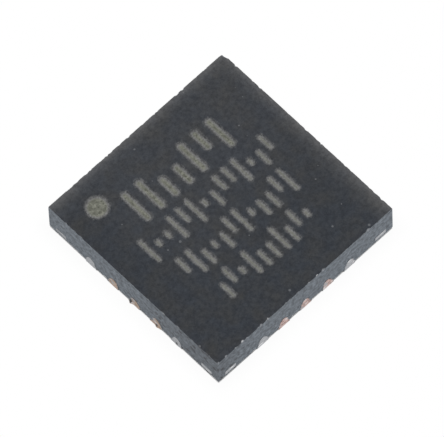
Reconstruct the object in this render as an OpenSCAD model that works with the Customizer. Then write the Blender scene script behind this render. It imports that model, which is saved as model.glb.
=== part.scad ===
// Integrated circuit in a square, flat, leadless moulded package.
// An etched copper lead frame carries a glued silicon die, fine wires join the die to the leads,
// and black epoxy is moulded over them. The package is then sawn out of its strip, so the cut ends
// of the leads and of the tie bars lie flush with the sides.
// Units are millimetres. The origin is the centre of the seating plane, +Z points to the marked
// face, and pin 1 is at the -X +Y corner. Leads count anticlockwise as seen from above.

/* [Body] */
// Length of the moulded body along X
body_length = 4; // [3.8:0.1:6]
// Width of the moulded body along Y
body_width = 4; // [3.8:0.1:6]
// Height of the marked face above the seating plane
package_height = 0.75; // [0.7:0.05:1]
// Height of the moulding's underside above the seating plane
standoff = 0.04; // [0.01:0.01:0.05]

/* [Lead frame] */
// Thickness of the copper strip
strip_thickness = 0.2; // [0.15:0.01:0.25]
// Depth etched away below the fingers, the pad's flange and the tie bars
half_etch = 0.1; // [0.06:0.01:0.12]

/* [Leads] */
// Number of leads along each side
leads_per_side = 5; // [2:1:5]
// Distance between neighbouring leads
lead_pitch = 0.5; // [0.4:0.05:0.55]
// Width of each lead
lead_width = 0.25; // [0.18:0.01:0.3]
// Radius that etching leaves along the upper edges of each lead
lead_edge = 0.05; // [0.02:0.01:0.07]
// Length of each solder land, in from the sawn side
land_length = 0.4; // [0.3:0.05:0.5]
// Reach of the bonding finger past the end of its land
finger_reach = 0.15; // [0.1:0.01:0.25]

/* [Die pad] */
// Length of the exposed pad along X
pad_length = 2; // [1.7:0.1:2.2]
// Width of the exposed pad along Y
pad_width = 2; // [1.7:0.1:2.2]
// Corner radius of the exposed pad
pad_radius = 0.1; // [0.05:0.01:0.2]
// Chamfer that marks the pin 1 corner of the exposed pad
pad_chamfer = 0.3; // [0.2:0.05:0.5]
// Width of the flange that locks the pad into the moulding
pad_flange = 0.2; // [0.1:0.02:0.3]

/* [Tie bars] */
// Width of the diagonal bars
tie_width = 0.2; // [0.12:0.02:0.24]
// Width of each cut end where the fork reaches a side
tie_end_width = 0.24; // [0.2:0.02:0.28]
// Distance of each cut end's centre from the body's corner
tie_end_inset = 0.28; // [0.2:0.02:0.34]

/* [Die] */
// Length of the silicon die along X
die_length = 1.5; // [1:0.1:1.8]
// Width of the silicon die along Y
die_width = 1.5; // [1:0.1:1.8]
// Thickness of the silicon die
die_thickness = 0.2; // [0.1:0.05:0.25]
// Thickness of the glue under the die
glue_thickness = 0.025; // [0.01:0.005:0.04]
// Rim of glue that shows round the die
glue_rim = 0.05; // [0.02:0.01:0.1]

/* [Bond wires] */
// Diameter of the wire
wire_diameter = 0.025; // [0.018:0.001:0.04]
// Diameter of the ball bond on the die
ball_diameter = 0.065; // [0.05:0.005:0.08]
// Height of the ball bond
ball_height = 0.02; // [0.012:0.002:0.03]
// Height of the wire's centreline above the die at the top of its loop
loop_height = 0.12; // [0.09:0.01:0.16]
// Radius of the bend at the top of the loop
loop_radius = 0.04; // [0.02:0.005:0.05]
// Distance of the bond row in from the die's edge
bond_inset = 0.07; // [0.05:0.01:0.12]
// Distance of the outermost bonds from the die's corners
bond_margin = 0.25; // [0.15:0.01:0.3]
// Length of the flattened stitch on the finger
stitch_length = 0.05; // [0.03:0.005:0.07]
// Width of the flattened stitch
stitch_width = 0.045; // [0.035:0.005:0.06]
// Thickness of the flattened stitch
stitch_thickness = 0.012; // [0.008:0.001:0.018]
// Distance of the stitch's end from the finger's tip
stitch_setback = 0.05; // [0.03:0.01:0.07]

/* [Marking] */
// Depth of the laser marking
mark_depth = 0.02; // [0.01:0.005:0.04]
// Diameter of the pin 1 dot
dot_diameter = 0.42; // [0.3:0.02:0.5]
// Distance of the pin 1 dot's centre from both sides
dot_inset = 0.57; // [0.4:0.01:0.6]
// Ticks in the bold row
bold_ticks = 7; // [3:1:7]
// Width of a bold tick
bold_width = 0.16; // [0.1:0.01:0.2]
// Distance between bold ticks
bold_pitch = 0.32; // [0.24:0.01:0.34]
// Height of the bold row
bold_height = 0.7; // [0.5:0.02:0.76]
// Rows of fine ticks under the bold row
fine_rows = 3; // [1:1:3]
// Ticks in the first fine row; each later row has two fewer
fine_ticks = 14; // [8:1:14]
// Width of a fine tick
fine_width = 0.11; // [0.07:0.01:0.14]
// Distance between fine ticks
fine_pitch = 0.21; // [0.17:0.01:0.23]
// Height of a fine row
fine_height = 0.54; // [0.4:0.02:0.58]
// Gap between rows
row_gap = 0.12; // [0.08:0.02:0.16]
// Distance along Y of the marking's centre from the middle of the body
mark_offset = 0; // [-0.1:0.02:0.1]

/* [Hidden] */
$fn = 48;
sides = 4;
wire_sides = 8;
bend_steps = 4;
lead_count = sides * leads_per_side;
finger_length = land_length + finger_reach;
die_floor = strip_thickness + glue_thickness;
die_top = die_floor + die_thickness;
mark_floor = package_height - mark_depth;
mark_block = bold_height + fine_rows * (row_gap + fine_height);
mark_top = mark_offset + mark_block / 2;

function numbered(stem, k) = str(stem, k < 10 ? "_0" : "_", k);

// Side of lead k, counted from 0: left, front, right, back
function side_of(k) = floor((k - 1) / leads_per_side);

// Turn that brings the front side's layout to side s
function side_turn(s) = 90 * (s - 1);

// Distance from the middle of the body to side s
function side_reach(s) = (s % 2 == 0 ? body_length : body_width) / 2;

// Distance from the middle of the die to its edge on side s, and half the length of that edge
function die_reach(s) = (s % 2 == 0 ? die_length : die_width) / 2;
function die_half_edge(s) = (s % 2 == 0 ? die_width : die_length) / 2;

// Place of lead k along its side, as a share from -1 at the first lead to 1 at the last
function along(k) = 2 * ((k - 1) % leads_per_side) / (leads_per_side - 1) - 1;

// Place of lead k and of its ball bond along the side
function lead_place(k) = along(k) * lead_pitch * (leads_per_side - 1) / 2;
function ball_place(k) = along(k) * (die_half_edge(side_of(k)) - bond_margin);

// A bar with one round end, from the X axis up
module bullet(width, length) {
    translate([-width / 2, 0]) square([width, length - width / 2]);
    translate([0, length - width / 2]) circle(d = width);
}

// A bar with two round ends, centred on the Y axis, from low to high
module slot(width, low, high) {
    translate([-width / 2, low + width / 2]) square([width, high - low - width]);
    for (y = [low + width / 2, high - width / 2]) translate([0, y]) circle(d = width);
}

// A rectangle with round corners, centred
module round_rectangle(length, width, radius) {
    square([length, width - 2 * radius], center = true);
    square([length - 2 * radius, width], center = true);
    for (x = [-1, 1], y = [-1, 1])
        translate([x * (length / 2 - radius), y * (width / 2 - radius)]) circle(r = radius);
}

// Cross-section of a lead with round upper edges, standing on the X axis
module lead_section() {
    translate([-lead_width / 2, 0]) square([lead_width, strip_thickness - lead_edge]);
    translate([-lead_width / 2 + lead_edge, 0]) square([lead_width - 2 * lead_edge, strip_thickness]);
    for (x = [-1, 1])
        translate([x * (lead_width / 2 - lead_edge), strip_thickness - lead_edge]) circle(r = lead_edge);
}

// One etched lead: a solder land that reaches the sawn side, under a longer bonding finger
module lead_form(k) {
    rotate(side_turn(side_of(k))) translate([lead_place(k), -side_reach(side_of(k)), 0])
        intersection() {
            union() {
                linear_extrude(half_etch) bullet(lead_width, land_length);
                translate([0, 0, half_etch])
                    linear_extrude(strip_thickness - half_etch) bullet(lead_width, finger_length);
            }
            translate([0, finger_length, 0]) rotate([90, 0, 0])
                linear_extrude(finger_length) lead_section();
        }
}

module lead(k) {
    color("peru") lead_form(k);
}

// Outline of the tie bar at the +X +Y corner: a diagonal bar that forks to both sides
module tie_bar_outline() {
    corner = [body_length / 2, body_width / 2];
    fork = corner - [tie_end_inset, tie_end_inset];
    root = [pad_length / 2, pad_width / 2];
    run = fork - root;
    end_half = tie_end_width / 2;
    translate(root) rotate(atan2(run.y, run.x)) translate([0, -tie_width / 2])
        square([norm(run), tie_width]);
    translate(fork - [end_half, end_half]) square([tie_end_inset + end_half, tie_end_width]);
    translate(fork - [end_half, end_half]) square([tie_end_width, tie_end_inset + end_half]);
}

// Outline of the exposed pad, with one corner cut off at pin 1
module pad_outline() {
    difference() {
        round_rectangle(pad_length, pad_width, pad_radius);
        translate([-pad_length / 2, pad_width / 2]) rotate(45)
            square(pad_chamfer * sqrt(2), center = true);
    }
}

// Die pad with its flange and four forked tie bars, etched from the strip as one piece
module die_paddle_form() {
    linear_extrude(half_etch) pad_outline();
    translate([0, 0, half_etch]) linear_extrude(strip_thickness - half_etch) {
        square([pad_length + 2 * pad_flange, pad_width + 2 * pad_flange], center = true);
        for (x = [0, 1], y = [0, 1]) mirror([x, 0]) mirror([0, y]) tie_bar_outline();
    }
}

module die_paddle() {
    color("peru") die_paddle_form();
}

// Silver-filled glue between the pad and the die
module die_glue_form() {
    translate([-die_length / 2 - glue_rim, -die_width / 2 - glue_rim, strip_thickness])
        cube([die_length + 2 * glue_rim, die_width + 2 * glue_rim, glue_thickness]);
}

module die_glue() {
    color("silver") die_glue_form();
}

// Silicon die
module silicon_die_form() {
    translate([-die_length / 2, -die_width / 2, die_floor])
        cube([die_length, die_width, die_thickness]);
}

module silicon_die() {
    color("slategray") silicon_die_form();
}

// One ring of a wire: its centre is at distance r along the heading d and at height z, it faces
// phi degrees above the heading, and it is wide across the heading and high square to both
function wire_ring(start, d, r, z, phi, wide, high) = [
    for (i = [0:wire_sides - 1])
        let (turn = 360 * (i + 0.5) / wire_sides)
        [start.x, start.y, z] + r * [d.x, d.y, 0]
            + wide * cos(turn) * [-d.y, d.x, 0]
            + high * sin(turn) * [-sin(phi) * d.x, -sin(phi) * d.y, cos(phi)]
];

// Rings of a bond wire from its ball on the die, up, round the bend and down to its stitch.
// The straight fall leaves the bend on a tangent, at the angle leave about the bend's centre.
function wire_rings(start, end) =
    let (
        span = norm(end - start),
        d = (end - start) / span,
        wire_r = wire_diameter / 2,
        ball_r = ball_diameter / 2,
        foot_r = ball_r - ball_height / 4,
        bend_z = die_top + loop_height - loop_radius,
        heel = [span - 2 * stitch_length, strip_thickness + wire_r],
        fall = heel - [loop_radius, bend_z],
        leave = atan2(fall.y, fall.x) + acos(loop_radius / norm(fall)),
        stitch_z = strip_thickness + stitch_thickness / 2,
        stitch_high = stitch_thickness / 2 / cos(180 / wire_sides)
    )
    concat(
        [
            wire_ring(start, d, 0, die_top, 90, foot_r, foot_r),
            wire_ring(start, d, 0, die_top + ball_height / 3, 90, ball_r, ball_r),
            wire_ring(start, d, 0, die_top + ball_height * 2 / 3, 90, foot_r, foot_r),
            wire_ring(start, d, 0, die_top + ball_height, 90, wire_r, wire_r)
        ],
        [
            for (i = [0:bend_steps])
                let (theta = 180 + (leave - 180) * i / bend_steps)
                wire_ring(start, d, loop_radius * (1 + cos(theta)), bend_z + loop_radius * sin(theta),
                    theta - 90, wire_r, wire_r)
        ],
        [
            wire_ring(start, d, heel.x, heel.y, (leave - 90) / 2, wire_r, wire_r),
            wire_ring(start, d, span - stitch_length, stitch_z, 0, stitch_width / 2, stitch_high),
            wire_ring(start, d, span, stitch_z, 0, stitch_width / 2, stitch_high)
        ]
    );

// A closed tube through rings of wire_sides points each
module tube(rings) {
    last = len(rings) - 1;
    n = wire_sides;
    polyhedron(
        points = [for (ring = rings) each ring],
        faces = concat(
            [[for (i = [0:n - 1]) i]],
            [for (j = [0:last - 1], i = [0:n - 1])
                let (a = j * n + i, b = j * n + (i + 1) % n)
                each [[a, b + n, b], [a, a + n, b + n]]],
            [[for (i = [n - 1:-1:0]) last * n + i]]
        )
    );
}

// Gold wire from the die to the finger of lead k
module bond_wire_form(k) {
    s = side_of(k);
    ball = [ball_place(k), -die_reach(s) + bond_inset];
    stitch = [lead_place(k), -side_reach(s) + finger_length - stitch_setback - stitch_length];
    rotate(side_turn(s)) tube(wire_rings(ball, stitch));
}

module bond_wire(k) {
    color("gold") bond_wire_form(k);
}

// Whether tick i of a row reaches from the row's middle third up to its top, and down to its foot
function tick_rises(row, i) = (i * i + 2 * i * row + row) % 5 < 3;
function tick_drops(row, i) = (2 * i * i + i + 3 * row) % 7 < 4;

// A centred row of upright ticks, from the row's top edge down
module tick_row(row, count, width, pitch, height, top) {
    middle = top - height / 2;
    for (i = [0:count - 1])
        translate([(i - (count - 1) / 2) * pitch, 0])
            slot(width,
                middle - height / (tick_drops(row, i) ? 2 : 6),
                middle + height / (tick_rises(row, i) ? 2 : 6));
}

// Laser marking: the pin 1 dot and rows of plain ticks
module marking_outline() {
    translate([-body_length / 2 + dot_inset, body_width / 2 - dot_inset]) circle(d = dot_diameter);
    tick_row(0, bold_ticks, bold_width, bold_pitch, bold_height, mark_top);
    for (row = [1:fine_rows])
        tick_row(row, fine_ticks - 2 * (row - 1), fine_width, fine_pitch, fine_height,
            mark_top - bold_height - row * row_gap - (row - 1) * fine_height);
}

// Black epoxy moulding, shaped by everything that it holds
module mould_body() {
    color("dimgray") difference() {
        translate([-body_length / 2, -body_width / 2, standoff])
            cube([body_length, body_width, package_height - standoff]);
        die_paddle_form();
        die_glue_form();
        silicon_die_form();
        for (k = [1:lead_count]) {
            lead_form(k);
            bond_wire_form(k);
        }
        translate([0, 0, mark_floor]) linear_extrude(2 * mark_depth) marking_outline();
    }
}

mould_body();
die_paddle();
die_glue();
silicon_die();
for (k = [1:lead_count]) {
    lead(k);
    bond_wire(k);
}
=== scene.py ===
"""Dresses a sawn leadless integrated circuit: matte moulding, laser ticks, cut copper leads."""
import math

import bpy
import numpy as np
from mathutils import Matrix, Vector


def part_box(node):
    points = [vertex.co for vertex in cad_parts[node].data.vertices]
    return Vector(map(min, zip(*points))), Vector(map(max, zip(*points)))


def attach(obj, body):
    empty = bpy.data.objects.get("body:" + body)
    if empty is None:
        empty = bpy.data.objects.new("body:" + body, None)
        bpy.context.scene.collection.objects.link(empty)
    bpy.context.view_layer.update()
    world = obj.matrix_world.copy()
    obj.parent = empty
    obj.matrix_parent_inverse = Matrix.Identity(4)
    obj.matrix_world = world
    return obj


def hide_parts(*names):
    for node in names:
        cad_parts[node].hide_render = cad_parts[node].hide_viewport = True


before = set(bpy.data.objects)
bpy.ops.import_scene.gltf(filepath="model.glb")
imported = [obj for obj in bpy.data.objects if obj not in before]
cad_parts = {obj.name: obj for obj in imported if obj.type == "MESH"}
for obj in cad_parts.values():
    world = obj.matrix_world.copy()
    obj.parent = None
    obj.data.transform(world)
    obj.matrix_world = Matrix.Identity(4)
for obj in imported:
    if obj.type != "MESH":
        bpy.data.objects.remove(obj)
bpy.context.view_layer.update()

# Lead frame finish
# The die pad, its tie bars and the leads are one strip of copper, etched to shape. What stays bare
# after moulding is plated with matte tin, and the saw then cuts fresh copper at the four sides.
MM = 0.001
HALF_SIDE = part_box("die_paddle")[1].x
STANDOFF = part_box("mould_body")[0].z
CUT_BAND = 0.006 * MM
WEST_BAND = 0.012 * MM
SAW_STREAK = 0.014 * MM
STREAK_PLAN, DRAG_PLAN = 0.15, 0.5
RESIN_PATCH = 0.05 * MM
TIN_BLOTCH = 0.12 * MM
TIN_FLECK = 0.1 * MM
ETCH_GRAIN = 0.02 * MM
STRIP_RELIEF = 0.004 * MM
FILM_FROM, FILM_TO = 1.4 * MM, 1.8 * MM
OUTER_FROM, OUTER_TO = 0.62 * MM, 0.86 * MM


def linear(code):
    """Linear colour of an sRGB hex code: dark channels over 12.92, the rest on the 2.4 power curve."""
    channel = np.array([int(code[i:i + 2], 16) for i in (1, 3, 5)]) / 255
    curve = np.where(channel <= 0.04045, channel / 12.92, ((channel + 0.055) / 1.055) ** 2.4)
    return (*curve.tolist(), 1.0)


def add_node(tree, kind, inputs=(), **settings):
    """Adds a shader node with its settings and with values or links for its inputs. Gives its outputs."""
    made = tree.nodes.new("ShaderNode" + kind)
    for name, value in settings.items():
        setattr(made, name, value)
    for socket, value in dict(inputs).items():
        if isinstance(value, bpy.types.NodeSocket):
            tree.links.new(value, made.inputs[socket])
        else:
            made.inputs[socket].default_value = value
    return made.outputs


def blank_material(name):
    """An empty material, its node tree and the object coordinates that its patterns read."""
    made = bpy.data.materials.new(name)
    made.use_nodes = True
    made.node_tree.nodes.clear()
    place = add_node(made.node_tree, "TexCoord")["Object"]
    return made, made.node_tree, place


# Sawn copper is pink and streaked along the cut. The blade drags resin over its edges and tin over
# its middle, most on the outer leads and the tie bars. The lands are dull white tin. Hidden copper
# keeps its etched, satin skin.
def lead_frame_copper():
    """Copper strip: tin below the moulding, etched copper inside it, sawn copper at the sides."""
    made, tree, place = blank_material("etched_copper_strip")
    split = add_node(tree, "SeparateXYZ", {0: place})
    off_x = add_node(tree, "Math", {0: split[0]}, operation="ABSOLUTE")[0]
    off_y = add_node(tree, "Math", {0: split[1]}, operation="ABSOLUTE")[0]
    reach = add_node(tree, "Math", {0: off_x, 1: off_y}, operation="MAXIMUM")[0]
    along = add_node(tree, "Math", {0: off_x, 1: off_y}, operation="MINIMUM")[0]
    across = add_node(tree, "Attribute", attribute_name="across")["Fac"]
    aside = add_node(tree, "Math", {0: across}, operation="ABSOLUTE")[0]
    cut = add_node(tree, "Math", {0: reach, 1: HALF_SIDE - CUT_BAND}, operation="GREATER_THAN")[0]
    plated = add_node(tree, "Math", {0: split[2], 1: STANDOFF}, operation="LESS_THAN")[0]

    # Saw marks run along the sides, so streaks and smears are long in plan. The etched grain is drawn
    # coarser than the real few thousandths of a millimetre, so that it shows.
    drag_place = add_node(tree, "Mapping", {0: place, "Scale": (DRAG_PLAN, DRAG_PLAN, 1.0)})[0]
    streak_place = add_node(tree, "Mapping", {0: place, "Scale": (STREAK_PLAN, STREAK_PLAN, 1.0)})[0]
    streak = add_node(tree, "TexNoise", {"Vector": streak_place, "Scale": 1 / SAW_STREAK,
                                         "Detail": 3.0, "Roughness": 0.6})[0]
    blotch = add_node(tree, "TexNoise", {"Vector": place, "Scale": 1 / TIN_BLOTCH,
                                         "Detail": 4.0, "Roughness": 0.65})[0]
    patch = add_node(tree, "TexNoise", {"Vector": drag_place, "Scale": 1 / RESIN_PATCH,
                                        "Detail": 3.0, "Roughness": 0.6})[0]

    # Resin covers the rim of the cut by a ragged amount. Sockets 1 to 4 of a range node are the low and
    # high ends that it reads, then those that it gives.
    side = add_node(tree, "MapRange", {0: aside, 1: 0.55, 2: 1.0, 4: 0.5})[0]
    cover = add_node(tree, "Math", {0: side, 1: patch}, operation="ADD")[0]
    resin = add_node(tree, "MapRange", {0: cover, 1: 0.8, 2: 1.05}, interpolation_type="SMOOTHSTEP")[0]
    # The -X side keeps a thin film of resin all over, thickest at its far corner, and is tarnished
    on_west = add_node(tree, "Math", {0: split[0], 1: WEST_BAND - HALF_SIDE}, operation="LESS_THAN")[0]
    film = add_node(tree, "MapRange", {0: split[1], 1: FILM_FROM, 2: FILM_TO, 3: 0.24, 4: 0.7})[0]
    tarnish = add_node(tree, "Math", {0: on_west, 1: blotch}, operation="MULTIPLY")[0]
    film = add_node(tree, "Math", {0: film, 1: on_west}, operation="MULTIPLY")[0]
    resin = add_node(tree, "Math", {0: resin, 1: film}, operation="MAXIMUM")[0]
    resin = add_node(tree, "Math", {0: resin, 1: cut}, operation="MULTIPLY")[0]

    # Tin is dragged over the outer cuts, and over the first half of each cut that the blade meets
    outer = add_node(tree, "MapRange", {0: along, 1: OUTER_FROM, 2: OUTER_TO, 3: -0.04, 4: 0.3},
                     interpolation_type="SMOOTHSTEP")[0]
    drag = add_node(tree, "Math", {0: blotch, 1: outer}, operation="ADD")[0]
    drag = add_node(tree, "Math", {0: across, 1: -0.12, 2: drag}, operation="MULTIPLY_ADD")[0]
    smear = add_node(tree, "MapRange", {0: drag, 1: 0.46, 2: 0.66}, interpolation_type="SMOOTHSTEP")[0]

    # Colour sockets of a mix node are 6 and 7, and its colour result is 2
    fresh = add_node(tree, "Mix", {0: streak, 6: linear("#a6867e"), 7: linear("#dfc4be")},
                     data_type="RGBA")[2]
    burnt = add_node(tree, "MapRange", {0: patch, 1: 0.4, 2: 0.52, 3: 0.85, 4: 0.0})[0]
    fresh = add_node(tree, "Mix", {0: burnt, 6: fresh, 7: linear("#7b635a")}, data_type="RGBA")[2]
    fresh = add_node(tree, "Mix", {0: tarnish, 6: fresh, 7: linear("#a98a5a")}, data_type="RGBA")[2]
    dragged = add_node(tree, "Mix", {0: streak, 6: linear("#7f8184"), 7: linear("#c6c8cc")},
                       data_type="RGBA")[2]
    sawn = add_node(tree, "Mix", {0: smear, 6: fresh, 7: dragged}, data_type="RGBA")[2]
    flecks = add_node(tree, "TexVoronoi", {"Vector": drag_place, "Scale": 1 / TIN_FLECK})["Distance"]
    fleck = add_node(tree, "MapRange", {0: flecks, 1: 0.12, 2: 0.36, 3: 0.7, 4: 0.0})[0]
    sawn = add_node(tree, "Mix", {0: fleck, 6: sawn, 7: linear("#e9e9ea")}, data_type="RGBA")[2]
    sawn = add_node(tree, "Mix", {0: resin, 6: sawn, 7: linear("#65696f")}, data_type="RGBA")[2]
    grain = add_node(tree, "TexNoise", {"Vector": place, "Scale": 1 / ETCH_GRAIN, "Detail": 3.0})[0]
    etched = add_node(tree, "Mix", {0: grain, 6: linear("#9c6244"), 7: linear("#c98f6d")},
                      data_type="RGBA")[2]
    tin = add_node(tree, "Mix", {0: blotch, 6: linear("#aeada9"), 7: linear("#d8d7d3")},
                   data_type="RGBA")[2]
    bare = add_node(tree, "Mix", {0: plated, 6: etched, 7: tin}, data_type="RGBA")[2]
    colour = add_node(tree, "Mix", {0: cut, 6: bare, 7: sawn}, data_type="RGBA")[2]
    # Painted shade, nearly black and not metallic, on the upper side of each burr
    caught = add_node(tree, "Attribute", attribute_name="caught")["Fac"]
    caught = add_node(tree, "MapRange", {0: caught, 1: 0.25, 2: 0.7})[0]
    colour = add_node(tree, "Mix", {0: caught, 6: colour, 7: linear("#201f1f")}, data_type="RGBA")[2]

    resin_and_shade = add_node(tree, "Math", {0: resin, 1: caught}, operation="MAXIMUM")[0]
    metal = add_node(tree, "MapRange", {0: resin_and_shade, 3: 1.0, 4: 0.0})[0]
    rough = add_node(tree, "MapRange", {0: streak, 3: 0.32, 4: 0.55})[0]
    relief = add_node(tree, "Mix", {0: cut, 2: grain, 3: streak})[0]
    bump = add_node(tree, "Bump", {"Height": relief, "Strength": 0.5, "Distance": STRIP_RELIEF})[0]
    shader = add_node(tree, "BsdfPrincipled", {"Base Color": colour, "Metallic": metal,
                                               "Roughness": rough, "Normal": bump})[0]
    add_node(tree, "OutputMaterial", {"Surface": shader})
    return made


copper_strip = lead_frame_copper()

# Die pad and tie bars
# The pad under the die, its locking flange and the four forked bars that hold it in the strip.
# It is etched as one piece, so the solid keeps its shape and takes the strip's finish.
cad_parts["die_paddle"].data.materials[0] = copper_strip

# Leads
# Twenty fingers etched from the copper strip, each with a solder land below, sawn off flush with the
# moulding. The blade drags each cut's metal up and over the resin, and three cuts keep a burr.
STRIP_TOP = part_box("lead_01")[1].z
LEADS_PER_SIDE = 5
LEAD_COUNT = 4 * LEADS_PER_SIDE
LEAD_PITCH = 0.5 * MM
LEAD_WIDTH = 0.25 * MM
LAND_LENGTH = 0.4 * MM
FINGER_LENGTH = 0.55 * MM
HALF_ETCH = 0.1 * MM
LEAD_EDGE = 0.05 * MM
LAND_EDGE = 0.008 * MM
TOP_INSET = 0.02 * MM
CUT_POINTS, SIDE_POINTS, TIP_POINTS = 17, 9, 13
FOOT_ROWS, LAND_ROWS, TOP_ROWS = 4, 7, 6
# Heights of the land's first row and of the step's two rows, as shares of the half etch
LAND_FROM, STEP_SHARES = 0.16, np.array([1.03, 1.25])
DOME_FOOT = 0.045 * MM
DOME_TAPER = 0.4
CUT_DRAG = 0.012 * MM
CUT_WANDER = 0.028 * MM
DRAG_FOOT = 0.12 * MM
DRAG_RISE = 0.064 * MM
SMEAR_PROUD = 0.005 * MM
SMEAR_REACH = 0.016 * MM
# Ranges of the shares drawn for the drag and for the proud metal, and the beta curve of the reach
DRAG_SHARES, PROUD_SHARES, REACH_CURVE = (0.6, 1.1), (0.3, 1.0), (1.2, 3.0)
BURR_WIDTH, BURR_HEIGHT = 0.032 * MM, 0.05 * MM
SMEAR_SEED, CUT_SEED = 11, 590
# A burr's place across its lead, its height, how far it stands out and how dark the painted shade above it
# is
BURRS = {3: (-0.056 * MM, 0.045 * MM, 0.038 * MM, 1.0),
         4: (0.056 * MM, 0.03 * MM, 0.024 * MM, 0.72),
         5: (0.02 * MM, 0.015 * MM, 0.004 * MM, 0.85)}
NO_BURR = (0.0, 0.0, 0.0, 0.0)


def make_piece(name, points, quads, caps, materials):
    """A mesh object at the origin from an array of points, quads and the closing caps."""
    mesh = bpy.data.meshes.new(name)
    mesh.from_pydata(points.reshape(-1, 3).tolist(), [], quads.reshape(-1, 4).tolist() + caps)
    for material in materials:
        mesh.materials.append(material)
    piece = bpy.data.objects.new(name, mesh)
    bpy.context.collection.objects.link(piece)
    return piece


def keep_shares(mesh, **shares):
    """Stores arrays of one share per point as the mesh's own attributes, for its material to read."""
    for name, values in shares.items():
        stored = mesh.attributes.new(name, "FLOAT", "POINT").data
        stored.foreach_set("value", values.ravel().astype(np.float32))


def ring_quads(rows, count):
    """Quads of a tube of closed rings: each point joins the next one round and the ring above."""
    start = np.arange(rows - 1)[:, None] * count
    here = np.arange(count)[None, :]
    after = (here + 1) % count
    return np.stack([start + here, start + after, start + count + after, start + count + here], axis=-1)


def bullet_outline(width, length):
    """Closed outline of a bar in plan: the cut end along u, two straight sides and a half-round tip.

    Returns u, v and a mask that is 1 on the cut end. The same counts serve every width and length.
    """
    half = width / 2
    across = np.linspace(-half, half, CUT_POINTS)
    up = np.linspace(0, length - half, SIDE_POINTS)[1:-1]
    turn = np.linspace(0, math.pi, TIP_POINTS)
    u = np.concatenate([across, np.full(up.size, half), half * np.cos(turn), np.full(up.size, -half)])
    v = np.concatenate([np.zeros(across.size), up, length - half + half * np.sin(turn), up[::-1]])
    return u, v, np.arange(u.size) < across.size


def lead_points(rng, shift, lean, burr):
    """Stacked outlines from the land's foot to the finger's top, with two shares for each point.

    The shares are how far across the cut the point lies, and how much painted shade it holds.

    Rows low in the stack follow the land, rows above the half etch follow the finger, and each row
    is narrowed by the round of its edge. At the cut the rows narrow further to a dome, shifted above
    its foot and leaning, whose top is dragged up in a parabola, and the cut stands proud and spreads
    by a ragged amount. A burr is a bell-shaped hump on the cut, with painted shade on its upper side.
    A last outline, inset all round, closes the top flat behind the lip of the cut.
    """
    low_turn = np.linspace(0, math.pi / 2, FOOT_ROWS)
    high_turn = np.linspace(0, math.pi / 2, TOP_ROWS)
    low_z = LAND_EDGE * (1 - np.cos(low_turn))
    land_z = np.linspace(LAND_FROM, 1.0, LAND_ROWS) * HALF_ETCH
    step_z = STEP_SHARES * HALF_ETCH
    high_z = STRIP_TOP - LEAD_EDGE * (1 - np.sin(high_turn))
    z = np.concatenate([low_z, land_z, step_z, high_z])
    narrow = np.concatenate([LAND_EDGE * (1 - np.sin(low_turn)), np.zeros(land_z.size + step_z.size),
                             LEAD_EDGE * (1 - np.cos(high_turn))])
    land_u, land_v, cut = bullet_outline(LEAD_WIDTH, LAND_LENGTH)
    finger_u, finger_v, _ = bullet_outline(LEAD_WIDTH, FINGER_LENGTH)
    finger = z[:, None] > (land_z[-1] + step_z[0]) / 2
    half = LEAD_WIDTH / 2 - narrow[:, None]
    u = np.where(finger, finger_u, land_u) * half / (LEAD_WIDTH / 2)
    v = np.where(finger, finger_v, land_v)
    z = np.broadcast_to(z[:, None], u.shape)
    share = u / half

    rise = np.clip((z - DOME_FOOT) / (STRIP_TOP - DOME_FOOT), 0, 1)
    dome = share * np.minimum(half, LEAD_WIDTH / 2 * (1 - DOME_TAPER * rise))
    dome = dome + shift * np.clip(z / HALF_ETCH, 0, 1) + lean * rise
    at_edge = np.abs(share) > 0.99
    spread = np.where(at_edge, SMEAR_REACH * rng.beta(*REACH_CURVE, u.shape) * np.sign(share), 0)
    drag = np.clip((z - DRAG_FOOT) / (STRIP_TOP - DRAG_FOOT), 0, 1) ** 2 * (1 - share ** 2)
    lift = DRAG_RISE * rng.uniform(*DRAG_SHARES) * drag
    out = SMEAR_PROUD * rng.uniform(*PROUD_SHARES, u.shape)
    burr_u, burr_z, stand, dark = burr
    aside, above = (dome - burr_u) / BURR_WIDTH, (z - burr_z) / BURR_HEIGHT
    hump = stand * np.exp(-aside ** 2 - above ** 2)
    # Painted shade on the upper side of the burr
    caught = np.where(cut & (z > 0), dark * np.exp(-aside ** 2 - (above - 1) ** 2), 0)
    points = np.stack([np.where(cut, dome + spread, u), np.where(cut, v - out - hump, v),
                       z + np.where(cut, lift, 0)], axis=-1)
    flat_u = u[-1] * (1 - TOP_INSET / half[-1])
    flat_v = TOP_INSET + v[-1] * (1 - 2 * TOP_INSET / FINGER_LENGTH)
    flat = np.stack([flat_u, flat_v, z[-1]], axis=-1)
    points = np.concatenate([points, flat[None]])
    share = np.concatenate([share, share[-1:]])
    caught = np.concatenate([caught, np.zeros_like(share[-1:])])
    return points, share, caught


def lead_place(number):
    """Turn of a lead about the package's middle, a quarter for each side, and its place along the side."""
    side, order = divmod(number - 1, LEADS_PER_SIDE)
    return math.radians(90 * (side - 1)), (order - (LEADS_PER_SIDE - 1) / 2) * LEAD_PITCH


smear_rng = np.random.default_rng(SMEAR_SEED)
cut_shift, cut_lean = np.random.default_rng(CUT_SEED).normal(0, CUT_WANDER, (2, LEAD_COUNT))
cut_shift += CUT_DRAG
leads = []
for number in range(1, LEAD_COUNT + 1):
    turn, along = lead_place(number)
    local, share, caught = lead_points(smear_rng, cut_shift[number - 1], cut_lean[number - 1],
                                       BURRS.get(number, NO_BURR))
    across, inward = local[..., 0] + along, local[..., 1] - HALF_SIDE
    points = np.stack([across * math.cos(turn) - inward * math.sin(turn),
                       across * math.sin(turn) + inward * math.cos(turn), local[..., 2]], axis=-1)
    rows, count = points.shape[:2]
    last = (rows - 1) * count
    lead = make_piece(f"lead_{number:02d}_sawn", points, ring_quads(rows, count),
                      [list(range(count))[::-1], list(range(last, last + count))], [copper_strip])
    keep_shares(lead.data, across=share, caught=caught)
    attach(lead, "root")
    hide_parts(f"lead_{number:02d}")
    leads.append(lead)

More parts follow.
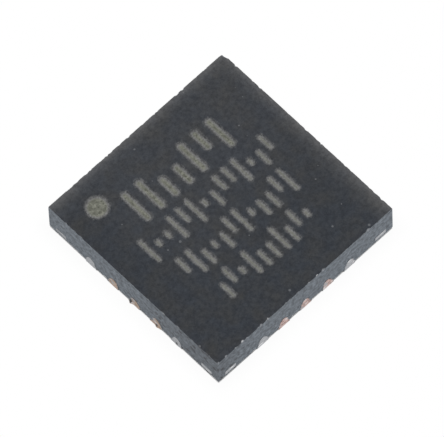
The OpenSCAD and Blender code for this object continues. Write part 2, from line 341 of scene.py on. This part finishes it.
# Die attach glue
# A thin bed of epoxy filled with silver flakes, squeezed out a little round the die and cured.
# It is a dull, pale grey with a fine sparkle of flakes.
GLUE_FLAKE = 0.012 * MM
GLUE_RELIEF = 0.003 * MM


def silver_epoxy():
    """Cured silver-filled epoxy: grey resin with brighter flakes, half metallic."""
    made, tree, place = blank_material("cured_silver_epoxy")
    flake = add_node(tree, "TexVoronoi", {"Vector": place, "Scale": 1 / GLUE_FLAKE})["Color"]
    bright = add_node(tree, "SeparateXYZ", {0: flake})[0]
    colour = add_node(tree, "Mix", {0: bright, 6: linear("#86867f"), 7: linear("#c4c4be")},
                      data_type="RGBA")[2]
    rough = add_node(tree, "MapRange", {0: bright, 3: 0.65, 4: 0.4})[0]
    bump = add_node(tree, "Bump", {"Height": bright, "Strength": 0.3, "Distance": GLUE_RELIEF})[0]
    shader = add_node(tree, "BsdfPrincipled", {"Base Color": colour, "Metallic": 0.5,
                                               "Roughness": rough, "Normal": bump})[0]
    add_node(tree, "OutputMaterial", {"Surface": shader})
    return made


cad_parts["die_glue"].data.materials[0] = silver_epoxy()

# Silicon die
# A chip of silicon sawn from a polished wafer. Its upper face carries the circuit under a thin glass
# layer, which shows as blocks of slightly different violet and green greys.
CIRCUIT_BLOCK = 0.09 * MM
CIRCUIT_LINE = 0.008 * MM
CIRCUIT_RELIEF = 0.001 * MM


def polished_silicon():
    """Polished silicon: dark grey, mirror-like, with the blocks and fine lines of a circuit."""
    made, tree, place = blank_material("polished_silicon")
    blocks = add_node(tree, "TexBrick", {
        "Vector": place, "Scale": 1.0, "Brick Width": 2 * CIRCUIT_BLOCK, "Row Height": CIRCUIT_BLOCK,
        "Mortar Size": CIRCUIT_LINE / 2, "Color1": linear("#4b4f5e"), "Color2": linear("#55615c"),
        "Mortar": linear("#8b8c93")})["Color"]
    # Real lines are far too fine to show, so these bands are drawn about a tenth of a millimetre apart
    lines = add_node(tree, "TexWave", {"Vector": place, "Scale": 1 / (20 * CIRCUIT_LINE)},
                     bands_direction="DIAGONAL")[1]
    colour = add_node(tree, "Mix", {0: lines, 6: blocks, 7: linear("#666b7a")}, data_type="RGBA")[2]
    rough = add_node(tree, "MapRange", {0: lines, 3: 0.12, 4: 0.22})[0]
    bump = add_node(tree, "Bump", {"Height": lines, "Strength": 0.2, "Distance": CIRCUIT_RELIEF})[0]
    shader = add_node(tree, "BsdfPrincipled", {"Base Color": colour, "Metallic": 0.6,
                                               "Roughness": rough, "Normal": bump})[0]
    add_node(tree, "OutputMaterial", {"Surface": shader})
    return made


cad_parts["silicon_die"].data.materials[0] = polished_silicon()

# Bond wires
# Drawn gold wire, balled on the die and stitched down on each finger. Drawing through a die leaves
# it bright, with faint scratches.
DRAW_SCRATCH = 0.006 * MM
WIRE_RELIEF = 0.0005 * MM


def drawn_gold():
    """Drawn gold: bright yellow metal, with scratches coarser than the real ones so that they show."""
    made, tree, place = blank_material("drawn_gold_wire")
    scratch = add_node(tree, "TexNoise", {"Vector": place, "Scale": 1 / DRAW_SCRATCH, "Detail": 2.0})[0]
    colour = add_node(tree, "Mix", {0: scratch, 6: linear("#d9a441"), 7: linear("#f2cb72")},
                      data_type="RGBA")[2]
    rough = add_node(tree, "MapRange", {0: scratch, 3: 0.15, 4: 0.35})[0]
    bump = add_node(tree, "Bump", {"Height": scratch, "Strength": 0.3, "Distance": WIRE_RELIEF})[0]
    shader = add_node(tree, "BsdfPrincipled", {"Base Color": colour, "Metallic": 1.0,
                                               "Roughness": rough, "Normal": bump})[0]
    add_node(tree, "OutputMaterial", {"Surface": shader})
    return made


gold_wire = drawn_gold()
for number in range(1, LEAD_COUNT + 1):
    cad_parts[f"bond_wire_{number:02d}"].data.materials[0] = gold_wire

# Moulding
# Black epoxy filled with silica, moulded over a whole strip of packages and sawn apart, which chips its
# rims. The top keeps the mould's matte skin, and a laser burns the pin 1 dot and tick rows into it.
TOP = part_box("mould_body")[1].z
SAW_RELIEF = 0.0015 * MM
RIM_STEP = 0.005 * MM
RIM_GROWTH = 1.12
GRID_STEP = 0.016 * MM
MARK_DEPTH = 0.02 * MM
DOT_RADIUS = 0.21 * MM
DOT_INSET = 0.57 * MM
BOLD_TICKS, BOLD_WIDTH, BOLD_PITCH, BOLD_HEIGHT = 7, 0.16 * MM, 0.32 * MM, 0.7 * MM
FINE_ROWS, FINE_TICKS, FINE_WIDTH = 3, 14, 0.11 * MM
FINE_PITCH, FINE_HEIGHT, ROW_GAP = 0.21 * MM, 0.54 * MM, 0.12 * MM
MARK_RAMP, BURN_RAMP = 0.07 * MM, 0.016 * MM
PIT_DEPTHS = (0.75, 1.15)
RIM_WEAR = 0.001 * MM
CHIP_BAND = 0.12 * MM
CHIP_WIDTHS = (0.012 * MM, 0.055 * MM)
CHIP_CURVE = (1.0, 2.4)
CHIP_SEED = 5
RIM_CHIPS = 40
DEEP_CHIPS = np.array([-1.975, -1.8, -1.42, -1.0, -0.84, 0.42, 1.45]) * MM
DEEP_CHIP = 0.018 * MM
# The deepest chip of the -X, +X, -Y and +Y rims, and the places of the known deep ones
RIM_SIDES = ((0.012 * MM, ()), (0.024 * MM, ()), (0.013 * MM, DEEP_CHIPS), (0.024 * MM, ()))
CORNER_CHIP, CORNER_REACH = 0.035 * MM, 0.14 * MM
FOOT_CHIPS, FOOT_DEEPEST = 60, 0.014 * MM
# The wall rings' shares of the way down, and the shares over which the rim's and the foot's chips fade
WALL_RINGS = np.array([0.01, 0.025, 0.045, 0.07, 0.1, 0.15, 0.22, 0.32, 0.44, 0.56, 0.68, 0.8, 0.9, 0.96,
                       0.985, 1.0])
NOTCH_SHARE, FOOT_SHARE = 0.09, 0.05
WALL_HALF = HALF_SIDE - SAW_RELIEF
MARK_BAND = 0.07 * MM
WALL_BAND = 0.05 * MM
CHIP_BRIGHT = 0.01 * MM


def grid_lines():
    """Lines across the body: fine steps at both rims that grow to an even step between them."""
    count = math.ceil(math.log(GRID_STEP / RIM_STEP) / math.log(RIM_GROWTH))
    rim = np.concatenate([[0], np.cumsum(RIM_STEP * RIM_GROWTH ** np.arange(count))])
    inner = WALL_HALF - rim[-1]
    middle = np.linspace(-inner, inner, round(2 * inner / GRID_STEP) + 1)
    return np.concatenate([rim[:-1] - WALL_HALF, middle, WALL_HALF - rim[:-1][::-1]])


def chip_line(rng, along, count, deepest, known=()):
    """Depth of the chips along one rim: the deepest of many shallow parabolas, over an even wear.

    Most lie anywhere, and a beta curve makes few of them deep. The known ones have their places given.
    """
    centre = np.concatenate([rng.uniform(-HALF_SIDE, HALF_SIDE, count), known])
    width = rng.uniform(*CHIP_WIDTHS, centre.size)
    depth = np.concatenate([deepest * rng.beta(*CHIP_CURVE, count), np.full(len(known), DEEP_CHIP)])
    dips = depth * (1 - ((along[:, None] - centre) / width) ** 2)
    return RIM_WEAR + np.maximum(dips, 0).max(axis=1)


def mark_distance(x, y):
    """Distance to the edge of the nearest mark, below zero inside: a disc and rows of round bars.

    A bar rises from its row's middle third to the top of the row, or drops to its foot, by the rule
    on its number that the part's source has too, so that the rows look like a plain tick code.
    """
    nearest = np.hypot(x + HALF_SIDE - DOT_INSET, y - HALF_SIDE + DOT_INSET) - DOT_RADIUS
    top = (BOLD_HEIGHT + FINE_ROWS * (ROW_GAP + FINE_HEIGHT)) / 2
    for row in range(FINE_ROWS + 1):
        count = FINE_TICKS - 2 * (row - 1) if row else BOLD_TICKS
        width, pitch = (FINE_WIDTH, FINE_PITCH) if row else (BOLD_WIDTH, BOLD_PITCH)
        height = FINE_HEIGHT if row else BOLD_HEIGHT
        middle = top - height / 2
        for i in range(count):
            rise = height / (2 if (i * i + 2 * i * row + row) % 5 < 3 else 6) - width / 2
            drop = height / (2 if (2 * i * i + i + 3 * row) % 7 < 4 else 6) - width / 2
            past = np.maximum(np.maximum(y - middle - rise, middle - drop - y), 0)
            bar = np.hypot(x - (i - (count - 1) / 2) * pitch, past) - width / 2
            nearest = np.minimum(nearest, bar)
        top -= height + ROW_GAP
    return nearest


def moulding_skin(rng):
    """Closed skin of the moulding: a height field on top, a strip of wall rings and a flat foot.

    Along each rim the top falls to the depth of its chips and draws in by half of that. The wall
    rings carry that notch down a short way and end on the foot's own finer chips.
    """
    lines = grid_lines()
    count = lines.size
    x, y = np.meshgrid(lines, lines, indexing="ij")
    chips = [chip_line(rng, lines, RIM_CHIPS, deepest, known) for deepest, known in RIM_SIDES]
    corner_chip = CORNER_CHIP * (1 - ((lines - HALF_SIDE) / CORNER_REACH) ** 2)
    west, east = chips[0][None, :], np.maximum(chips[1], corner_chip)[None, :]
    south, north = chips[2][:, None], chips[3][:, None]
    from_west, from_east = x + WALL_HALF, WALL_HALF - x
    from_south, from_north = y + WALL_HALF, WALL_HALF - y
    fall = np.maximum.reduce([west - from_west, east - from_east,
                              south - from_south, north - from_north, np.zeros_like(x)])
    draw_x = (west * np.maximum(1 - from_west / CHIP_BAND, 0)
              - east * np.maximum(1 - from_east / CHIP_BAND, 0))
    draw_y = (south * np.maximum(1 - from_south / CHIP_BAND, 0)
              - north * np.maximum(1 - from_north / CHIP_BAND, 0))
    burnt = np.clip(0.5 - mark_distance(x, y) / BURN_RAMP, 0, 1)
    pits = rng.uniform(*PIT_DEPTHS, x.shape)
    top = np.stack([x + draw_x / 2, y + draw_y / 2, TOP - fall - MARK_DEPTH * burnt * pits], axis=-1)

    index = np.arange(count * count).reshape(count, count)
    rim = np.concatenate([index[:-1, 0], index[-1, :-1], index[:0:-1, -1], index[0, :0:-1]])
    flat = np.stack([x, y, np.full_like(x, TOP)], axis=-1).reshape(-1, 3)[rim]
    lip = top.reshape(-1, 3)[rim]
    inward = -np.sign(flat[:, :2]) * (np.abs(flat[:, :2]) > WALL_HALF - RIM_STEP / 2)
    share = WALL_RINGS[:, None, None]
    foot_chips = np.concatenate([chip_line(rng, lines[:-1], FOOT_CHIPS, FOOT_DEEPEST) for _ in range(4)])
    notch = (lip - flat)[:, :2] * np.maximum(1 - share / NOTCH_SHARE, 0)
    foot = inward * foot_chips[:, None] * np.maximum(1 - (1 - share) / FOOT_SHARE, 0)
    wall_z = lip[:, 2:] + (STANDOFF - lip[:, 2:]) * share
    walls = np.concatenate([np.broadcast_to(flat[:, :2], notch.shape) + notch + foot, wall_z], axis=-1)

    top_quads = np.stack([index[:-1, :-1], index[1:, :-1], index[1:, 1:], index[:-1, 1:]], axis=-1)
    around = rim.size
    below = count * count + np.arange(share.size)[:, None] * around + np.arange(around)
    rings = np.concatenate([rim[None, :], below])
    turned = np.roll(rings, -1, axis=1)
    wall_quads = np.stack([rings[:-1], rings[1:], turned[1:], turned[:-1]], axis=-1)
    points = np.concatenate([top.reshape(-1, 3), walls.reshape(-1, 3)])
    quads = np.concatenate([top_quads.reshape(-1, 4), wall_quads.reshape(-1, 4)])
    return points, quads, [rings[-1][::-1].tolist()]


SKIN_CLOUD = 0.4 * MM
SKIN_MOTTLE = 0.06 * MM
SKIN_GRIT = 0.03 * MM
SKIN_GRAINS = 0.22 * MM
SKIN_RELIEF = 0.005 * MM
CHIP_GLINT_GRAINS = 0.11 * MM
LASER_PIT = 0.035 * MM
DUST_SHEEN_BAND = 0.12 * MM
DUST_SHEEN_FROM, DUST_SHEEN_TO = TOP - 0.1 * MM, TOP - 0.06 * MM
HAZE_SHEEN_FULL_X = -0.8 * MM
HAZE_SHEEN_FROM_Y, HAZE_SHEEN_FULL_Y = -1.5 * MM, 1.2 * MM
HAZE_SHEEN_SHARE = 0.125


# Moulded skin is charcoal, matte and clouded, with a few pale grains. Dull saw dust with a painted
# sheen lies along the +X and +Y rims and, fainter, over the half of the top next to them. The laser
# leaves an olive-grey burn with darker pits inside a paler edge, and a chipped rim shows paler broken
# filler with a few bright grains that are partly painted glints.
def moulded_epoxy():
    """Silica-filled epoxy as moulded, with burnt marks and chipped rims from the skin's attributes."""
    made, tree, place = blank_material("moulded_silica_epoxy")
    laser = add_node(tree, "Attribute", attribute_name="laser")["Fac"]
    chip = add_node(tree, "Attribute", attribute_name="chip")["Fac"]
    chip = add_node(tree, "MapRange", {0: chip, 2: 0.4})[0]
    cloud = add_node(tree, "TexNoise", {"Vector": place, "Scale": 1 / SKIN_CLOUD, "Detail": 3.0,
                                        "Roughness": 0.55})[0]
    mottle = add_node(tree, "TexNoise", {"Vector": place, "Scale": 1 / SKIN_MOTTLE, "Detail": 4.0,
                                         "Roughness": 0.75})[0]
    grit = add_node(tree, "TexNoise", {"Vector": place, "Scale": 1 / SKIN_GRIT, "Detail": 3.0,
                                       "Roughness": 0.7})[0]
    cells = add_node(tree, "TexVoronoi", {"Vector": place, "Scale": 1 / SKIN_GRAINS})
    pick = add_node(tree, "SeparateXYZ", {0: cells["Color"]})[0]
    size = add_node(tree, "MapRange", {0: pick, 1: 0.4, 2: 1.0, 4: 0.12})[0]
    grain = add_node(tree, "Math", {0: cells["Distance"], 1: size}, operation="LESS_THAN")[0]

    shade = add_node(tree, "MapRange", {0: mottle, 1: 0.36, 2: 0.64})[0]
    cool = add_node(tree, "Mix", {0: shade, 6: linear("#1b2028"), 7: linear("#33383f")},
                    data_type="RGBA")[2]
    warm = add_node(tree, "Mix", {0: shade, 6: linear("#222427"), 7: linear("#3a3b3c")},
                    data_type="RGBA")[2]
    tint = add_node(tree, "MapRange", {0: cloud, 1: 0.4, 2: 0.7})[0]
    skin = add_node(tree, "Mix", {0: tint, 6: cool, 7: warm}, data_type="RGBA")[2]
    pale = add_node(tree, "Math", {0: grain, 1: 0.35}, operation="MULTIPLY")[0]
    skin = add_node(tree, "Mix", {0: pale, 6: skin, 7: linear("#8f9194")}, data_type="RGBA")[2]

    # Dust and painted sheen fall off from the +X and +Y rims as an exponential, fainter over the half of
    #     # the top next to them, and lie only on the top
    split = add_node(tree, "SeparateXYZ", {0: place})
    reach = add_node(tree, "Math", {0: split[0], 1: split[1]}, operation="MAXIMUM")[0]
    depth = add_node(tree, "MapRange", {0: reach, 1: HALF_SIDE - DUST_SHEEN_BAND, 2: HALF_SIDE, 3: -1.0, 4: 0.0},
                     clamp=False)[0]
    dust_and_sheen = add_node(tree, "Math", {0: depth}, operation="EXPONENT")[0]
    haze_sheen_x = add_node(tree, "MapRange", {0: split[0], 1: -HALF_SIDE, 2: HAZE_SHEEN_FULL_X, 4: HAZE_SHEEN_SHARE},
                      interpolation_type="SMOOTHSTEP")[0]
    haze_sheen_y = add_node(tree, "MapRange", {0: split[1], 1: HAZE_SHEEN_FROM_Y, 2: HAZE_SHEEN_FULL_Y},
                      interpolation_type="SMOOTHSTEP")[0]
    haze_and_sheen = add_node(tree, "Math", {0: haze_sheen_x, 1: haze_sheen_y}, operation="MULTIPLY")[0]
    dust_and_sheen = add_node(tree, "Math", {0: dust_and_sheen, 1: haze_and_sheen}, operation="MAXIMUM")[0]
    above = add_node(tree, "MapRange", {0: split[2], 1: DUST_SHEEN_FROM, 2: DUST_SHEEN_TO, 4: 0.8})[0]
    dust_and_sheen = add_node(tree, "Math", {0: dust_and_sheen, 1: above}, operation="MULTIPLY")[0]
    dust_and_sheen = add_node(tree, "Math", {0: dust_and_sheen, 1: mottle}, operation="MULTIPLY")[0]
    skin = add_node(tree, "Mix", {0: dust_and_sheen, 6: skin, 7: linear("#868585")}, data_type="RGBA")[2]

    # Broken filler at the chips, with bright grains that are partly painted glints
    broken = add_node(tree, "MapRange", {0: grit, 1: 0.35, 2: 0.65})[0]
    torn = add_node(tree, "Mix", {0: broken, 6: linear("#4d5055"), 7: linear("#8b8e93")},
                    data_type="RGBA")[2]
    sparks = add_node(tree, "TexVoronoi", {"Vector": place, "Scale": 1 / CHIP_GLINT_GRAINS})["Distance"]
    spark = add_node(tree, "MapRange", {0: sparks, 1: 0.22, 2: 0.34, 3: 0.8, 4: 0.0})[0]
    torn = add_node(tree, "Mix", {0: spark, 6: torn, 7: linear("#cfd0d2")}, data_type="RGBA")[2]
    skin = add_node(tree, "Mix", {0: chip, 6: skin, 7: torn}, data_type="RGBA")[2]

    # The burn has a ragged edge, and its pits lie inside the paler ring
    ragged = add_node(tree, "MapRange", {0: mottle, 1: 0.3, 2: 0.7, 3: -0.13, 4: 0.13})[0]
    edge = add_node(tree, "Math", {0: laser, 1: ragged}, operation="ADD")[0]
    burn = add_node(tree, "MapRange", {0: edge, 1: 0.28, 2: 0.8}, interpolation_type="SMOOTHSTEP")[0]
    inner = add_node(tree, "MapRange", {0: laser, 1: 0.7, 2: 1.0})[0]
    holes = add_node(tree, "TexVoronoi", {"Vector": place, "Scale": 1 / LASER_PIT})["Color"]
    pits = add_node(tree, "SeparateXYZ", {0: holes})[0]
    pits = add_node(tree, "Math", {0: pits, 1: inner}, operation="MULTIPLY")[0]
    ring = add_node(tree, "Mix", {0: broken, 6: linear("#676766"), 7: linear("#878787")},
                    data_type="RGBA")[2]
    ash = add_node(tree, "Mix", {0: inner, 6: ring, 7: linear("#87887d")}, data_type="RGBA")[2]
    ash = add_node(tree, "Mix", {0: pits, 6: ash, 7: linear("#56584e")}, data_type="RGBA")[2]
    colour = add_node(tree, "Mix", {0: burn, 6: skin, 7: ash}, data_type="RGBA")[2]

    # A skin this finely pitted throws back less than the full gloss of epoxy
    rough = add_node(tree, "MapRange", {0: mottle, 3: 0.55, 4: 0.75})[0]
    bump = add_node(tree, "Bump", {"Height": grit, "Strength": 0.6, "Distance": SKIN_RELIEF})[0]
    shader = add_node(tree, "BsdfPrincipled", {"Base Color": colour, "Roughness": rough, "IOR": 1.5,
                                               "Specular IOR Level": 0.3, "Normal": bump})[0]
    add_node(tree, "OutputMaterial", {"Surface": shader})
    return made


SAW_LINE = 0.03 * MM
WALL_MOTTLE = 0.08 * MM
WALL_FILLER = 0.1 * MM
WALL_RELIEF = 0.004 * MM
DARKENING_REACH = 2.6 * MM
DARKENING_STRETCH = 3.0


# A sawn face is paler and bluer, because the blade cuts through the silica grains. It is dull and
# mottled, with faint lines along the cut, dark holes where grains were torn out, bright chips at the
# rim that are partly a painted rim highlight, and a darkening at the corner next to lead 5, most of it
# on the -X side.
def sawn_epoxy():
    """Silica-filled epoxy as sawn: blue-grey, with saw lines along the sides and cut filler grains."""
    made, tree, place = blank_material("sawn_silica_epoxy")
    line_place = add_node(tree, "Mapping", {0: place, "Scale": (STREAK_PLAN, STREAK_PLAN, 1.0)})[0]
    lines = add_node(tree, "TexNoise", {"Vector": line_place, "Scale": 1 / SAW_LINE, "Detail": 4.0,
                                        "Roughness": 0.6})[0]
    mottle = add_node(tree, "TexNoise", {"Vector": place, "Scale": 1 / WALL_MOTTLE, "Detail": 4.0,
                                         "Roughness": 0.65})[0]
    filler = add_node(tree, "TexVoronoi", {"Vector": place, "Scale": 1 / WALL_FILLER})
    both = add_node(tree, "Math", {0: lines, 1: 0.05, 2: mottle}, operation="MULTIPLY_ADD")[0]
    shade = add_node(tree, "MapRange", {0: both, 1: 0.34, 2: 0.71})[0]
    face = add_node(tree, "Mix", {0: shade, 6: linear("#3e454c"), 7: linear("#7f8790")},
                    data_type="RGBA")[2]

    # The face darkens towards its corner and fades with the distance, three times as fast along the -Y
    # side
    darkening_place = add_node(tree, "Mapping", {0: place, "Scale": (DARKENING_STRETCH, 1.0, 0.0)})[0]
    gap = add_node(tree, "VectorMath", {0: darkening_place, 1: (-DARKENING_STRETCH * HALF_SIDE, -HALF_SIDE, 0)},
                   operation="DISTANCE")["Value"]
    corner_darkening = add_node(tree, "MapRange", {0: gap, 2: DARKENING_REACH, 3: 0.34, 4: 0.0},
                    interpolation_type="SMOOTHSTEP")[0]
    face = add_node(tree, "Mix", {0: corner_darkening, 6: face, 7: linear("#3a3c40")}, data_type="RGBA")[2]

    # Torn grains are drawn about twice as wide as real ones, so that they show, and show darker towards
    # that corner
    pick = add_node(tree, "SeparateXYZ", {0: filler["Color"]})[0]
    size = add_node(tree, "MapRange", {0: pick, 1: 0.4, 2: 0.9, 4: 0.75})[0]
    ragged = add_node(tree, "Math", {0: mottle, 1: 0.6, 2: filler["Distance"]},
                      operation="MULTIPLY_ADD")[0]
    torn = add_node(tree, "Math", {0: ragged, 1: size}, operation="LESS_THAN")[0]
    deep = add_node(tree, "MapRange", {0: corner_darkening, 2: 0.3, 3: 0.25, 4: 0.95})[0]
    torn = add_node(tree, "Math", {0: torn, 1: deep}, operation="MULTIPLY")[0]
    face = add_node(tree, "Mix", {0: torn, 6: face, 7: linear("#303238")}, data_type="RGBA")[2]
    # The chipped rim is pale: broken filler, and partly a painted rim highlight
    chip = add_node(tree, "Attribute", attribute_name="chip")["Fac"]
    chip = add_node(tree, "Math", {0: chip, 1: 2.0}, operation="POWER")[0]
    colour = add_node(tree, "Mix", {0: chip, 6: face, 7: linear("#a9acb1")}, data_type="RGBA")[2]
    bump = add_node(tree, "Bump", {"Height": both, "Strength": 0.3, "Distance": WALL_RELIEF})[0]
    shader = add_node(tree, "BsdfPrincipled", {"Base Color": colour, "Roughness": 0.7, "IOR": 1.5,
                                               "Normal": bump})[0]
    add_node(tree, "OutputMaterial", {"Surface": shader})
    return made


def merged_copy(sources, label):
    """One object from copies of other objects' triangles, closed by merging points to a nanometre."""
    corners, faces, start = [], [], 0
    for source in sources:
        source.data.calc_loop_triangles()
        xyz = np.empty(len(source.data.vertices) * 3)
        tri = np.empty(len(source.data.loop_triangles) * 3, dtype=np.int64)
        source.data.vertices.foreach_get("co", xyz)
        source.data.loop_triangles.foreach_get("vertices", tri)
        merged, which = np.unique(np.round(xyz.reshape(-1, 3), 9), axis=0, return_inverse=True)
        corners.append(merged)
        faces.append(which.reshape(-1)[tri].reshape(-1, 3) + start)
        start += len(merged)
    mesh = bpy.data.meshes.new(label)
    mesh.from_pydata(np.concatenate(corners).tolist(), [], np.concatenate(faces).tolist())
    made = bpy.data.objects.new(label, mesh)
    bpy.context.collection.objects.link(made)
    return made


inner_nodes = [node for name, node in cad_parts.items() if not name.startswith(("mould", "lead"))]
cavity = merged_copy(inner_nodes + leads, "cavity_cutter")
skin_points, skin_quads, skin_caps = moulding_skin(np.random.default_rng(CHIP_SEED))
moulding = make_piece("moulding_sawn", skin_points, skin_quads, skin_caps, [moulded_epoxy(), sawn_epoxy()])
pockets = moulding.modifiers.new("pockets", "BOOLEAN")
pockets.operation = "DIFFERENCE"
pockets.solver = "MANIFOLD"
pockets.object = cavity
bpy.context.view_layer.update()
hollowed = bpy.data.meshes.new_from_object(moulding.evaluated_get(bpy.context.evaluated_depsgraph_get()))
moulding.modifiers.clear()
moulding.data = hollowed
bpy.data.objects.remove(cavity)

# The laser ramp and the chipped rim, which also carries painted glints and a painted rim highlight, are
# # kept on the points, and walls take the sawn finish
xyz = np.empty(len(hollowed.vertices) * 3, dtype=np.float32)
hollowed.vertices.foreach_get("co", xyz)
xyz = xyz.reshape(-1, 3).astype(float)
high = xyz[:, 2] > TOP - MARK_BAND
rim_gap = HALF_SIDE - np.abs(xyz[:, :2]).max(axis=1)
laser = np.where(high, np.clip(0.5 - mark_distance(xyz[:, 0], xyz[:, 1]) / (2 * MARK_RAMP), 0, 1), 0)
broken = np.minimum(TOP - xyz[:, 2], rim_gap - SAW_RELIEF)
chip = np.where(high & (rim_gap < CHIP_BAND), np.clip(broken / CHIP_BRIGHT, 0, 1), 0)
keep_shares(hollowed, laser=laser, chip=chip)
centre = np.empty(len(hollowed.polygons) * 3, dtype=np.float32)
facing = np.empty(len(hollowed.polygons) * 3, dtype=np.float32)
hollowed.polygons.foreach_get("center", centre)
hollowed.polygons.foreach_get("normal", facing)
centre, facing = centre.reshape(-1, 3), facing.reshape(-1, 3)
at_side = np.abs(centre[:, :2]).max(axis=1) > HALF_SIDE - WALL_BAND
upright = np.abs(facing[:, 2]) < 0.5
hollowed.polygons.foreach_set("material_index", (at_side & upright).astype(np.int32))
hollowed.update()
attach(moulding, "root")
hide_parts("mould_body")

# Floor, light and camera
# A pale sweep under soft boxes, seen from the photograph's side and height. The floor shows the
# camera a white that only the part's own shadow dims.
FLOOR_HALF = 300 * MM
SHADOW_INSET = 0.004 * MM
SHADOW_REACH = 0.35 * MM
SHADOW_WHITE = 0.94
PAPER_FIBRE = 2 * MM
SKY_LIGHT = 0.55
BOX_DISTANCE, BOX_SIZE = 90 * MM, 70 * MM
PHOTO_WIDTH, PHOTO_HEIGHT = 444, 437
AZIMUTH, ELEVATION, ROLL = math.radians(-41.66), math.radians(64.53), math.radians(-2.76)
PIXELS_PER_METRE = 60.8 / MM
CAMERA_DISTANCE = 200 * MM
BODY_CENTRE_PIXEL = np.array([220.7, 217.6])
SENSOR = 36.0


def seen_share(tree):
    """1 for rays from the camera, off a mirror or through glass, and 0 for rays that only carry light."""
    path = add_node(tree, "LightPath")
    direct = add_node(tree, "Math", {0: path["Is Camera Ray"], 1: path["Is Glossy Ray"]},
                      operation="MAXIMUM")[0]
    return add_node(tree, "Math", {0: direct, 1: path["Is Transmission Ray"]}, operation="MAXIMUM")[0]


# Uncoated paper is a flat, even white with no gloss.
def paper_floor():
    """White paper: a diffuse sheet to the light, white to the camera but for the part's shadow.

    The white thins a little close to the part and is gone under it.
    """
    made, tree, place = blank_material("white_paper_sweep")
    fibre = add_node(tree, "TexNoise", {"Vector": place, "Scale": 1 / PAPER_FIBRE, "Detail": 3.0})[0]
    tone = add_node(tree, "Mix", {0: fibre, 6: linear("#f2f2f2"), 7: linear("#f6f6f6")},
                    data_type="RGBA")[2]
    sheet = add_node(tree, "BsdfDiffuse", {"Color": tone})[0]
    glow = add_node(tree, "Emission", {"Color": (1, 1, 1, 1), "Strength": 1.0})[0]
    off = add_node(tree, "VectorMath", {0: place}, operation="ABSOLUTE")[0]
    dark_half = HALF_SIDE - SHADOW_INSET
    off = add_node(tree, "VectorMath", {0: off, 1: (dark_half, dark_half, 0)}, operation="SUBTRACT")[0]
    off = add_node(tree, "VectorMath", {0: off, 1: (0, 0, 0)}, operation="MAXIMUM")[0]
    gap = add_node(tree, "VectorMath", {0: off}, operation="LENGTH")["Value"]
    away = add_node(tree, "MapRange", {0: gap, 2: SHADOW_REACH, 3: SHADOW_WHITE, 4: 1.0},
                    interpolation_type="SMOOTHSTEP")[0]
    clear = add_node(tree, "Math", {0: gap, 1: 0.0}, operation="GREATER_THAN")[0]
    share = add_node(tree, "Math", {0: away, 1: clear}, operation="MULTIPLY")[0]
    share = add_node(tree, "Math", {0: share, 1: seen_share(tree)}, operation="MULTIPLY")[0]
    shader = add_node(tree, "MixShader", {0: share, 1: sheet, 2: glow})[0]
    add_node(tree, "OutputMaterial", {"Surface": shader})
    return made


floor_corners = np.array([[-1, -1, 0], [1, -1, 0], [1, 1, 0], [-1, 1, 0]]) * FLOOR_HALF
floor = make_piece("floor", floor_corners, np.arange(4), [], [paper_floor()])

# The world lights the part softly and is white to the camera
world = bpy.data.worlds.new("studio")
world.use_nodes = True
sky_tree = world.node_tree
sky_tree.nodes.clear()
sky_level = add_node(sky_tree, "MapRange", {0: seen_share(sky_tree), 3: SKY_LIGHT, 4: 1.0})[0]
sky = add_node(sky_tree, "Background", {"Color": (1, 1, 1, 1), "Strength": sky_level})[0]
add_node(sky_tree, "OutputWorld", {"Surface": sky})
bpy.context.scene.world = world


def direction(azimuth, elevation):
    """Unit vector from the part towards a lamp or camera: round from -Y by the azimuth, then up."""
    level = math.cos(elevation)
    return np.array([math.sin(azimuth) * level, -math.cos(azimuth) * level, math.sin(elevation)])


def soft_box(name, azimuth, elevation, white):
    """A square lamp aimed at the part, which lights paper that faces it to a given share of white.

    Its power is that share times the square of pi and of the distance.
    """
    lamp = bpy.data.lights.new(name, "AREA")
    lamp.size = BOX_SIZE
    lamp.energy = white * math.pi ** 2 * BOX_DISTANCE ** 2
    made = bpy.data.objects.new(name, lamp)
    bpy.context.collection.objects.link(made)
    made.location = direction(azimuth, elevation) * BOX_DISTANCE
    made.rotation_euler = (math.pi / 2 - elevation, 0, azimuth)


soft_box("key_box", azimuth=math.radians(-110), elevation=math.radians(60), white=0.28)
soft_box("fill_box", azimuth=math.radians(30), elevation=math.radians(40), white=0.27)

# The camera's axes follow from its angles, and it slides sideways to put the body's centre on its pixel
back = direction(AZIMUTH, ELEVATION)
level_right = np.array([math.cos(AZIMUTH), math.sin(AZIMUTH), 0])
level_up = np.cross(back, level_right)
right = math.cos(ROLL) * level_right + math.sin(ROLL) * level_up
up = math.cos(ROLL) * level_up - math.sin(ROLL) * level_right
slide = (np.array([PHOTO_WIDTH, PHOTO_HEIGHT]) / 2 - BODY_CENTRE_PIXEL) / PIXELS_PER_METRE
stand = np.array([0, 0, TOP / 2]) + right * slide[0] - up * slide[1] + back * CAMERA_DISTANCE
lens = bpy.data.cameras.new("camera")
lens.sensor_width = SENSOR
lens.lens = PIXELS_PER_METRE * CAMERA_DISTANCE / PHOTO_WIDTH * SENSOR
lens.clip_start, lens.clip_end = CAMERA_DISTANCE / 10, CAMERA_DISTANCE * 10
camera = bpy.data.objects.new("camera", lens)
bpy.context.collection.objects.link(camera)
pose = np.eye(4)
pose[:3, :4] = np.stack([right, up, back, stand], axis=1)
camera.matrix_world = Matrix(pose.tolist())
bpy.context.scene.camera = camera
bpy.context.scene.view_settings.view_transform = "Standard"
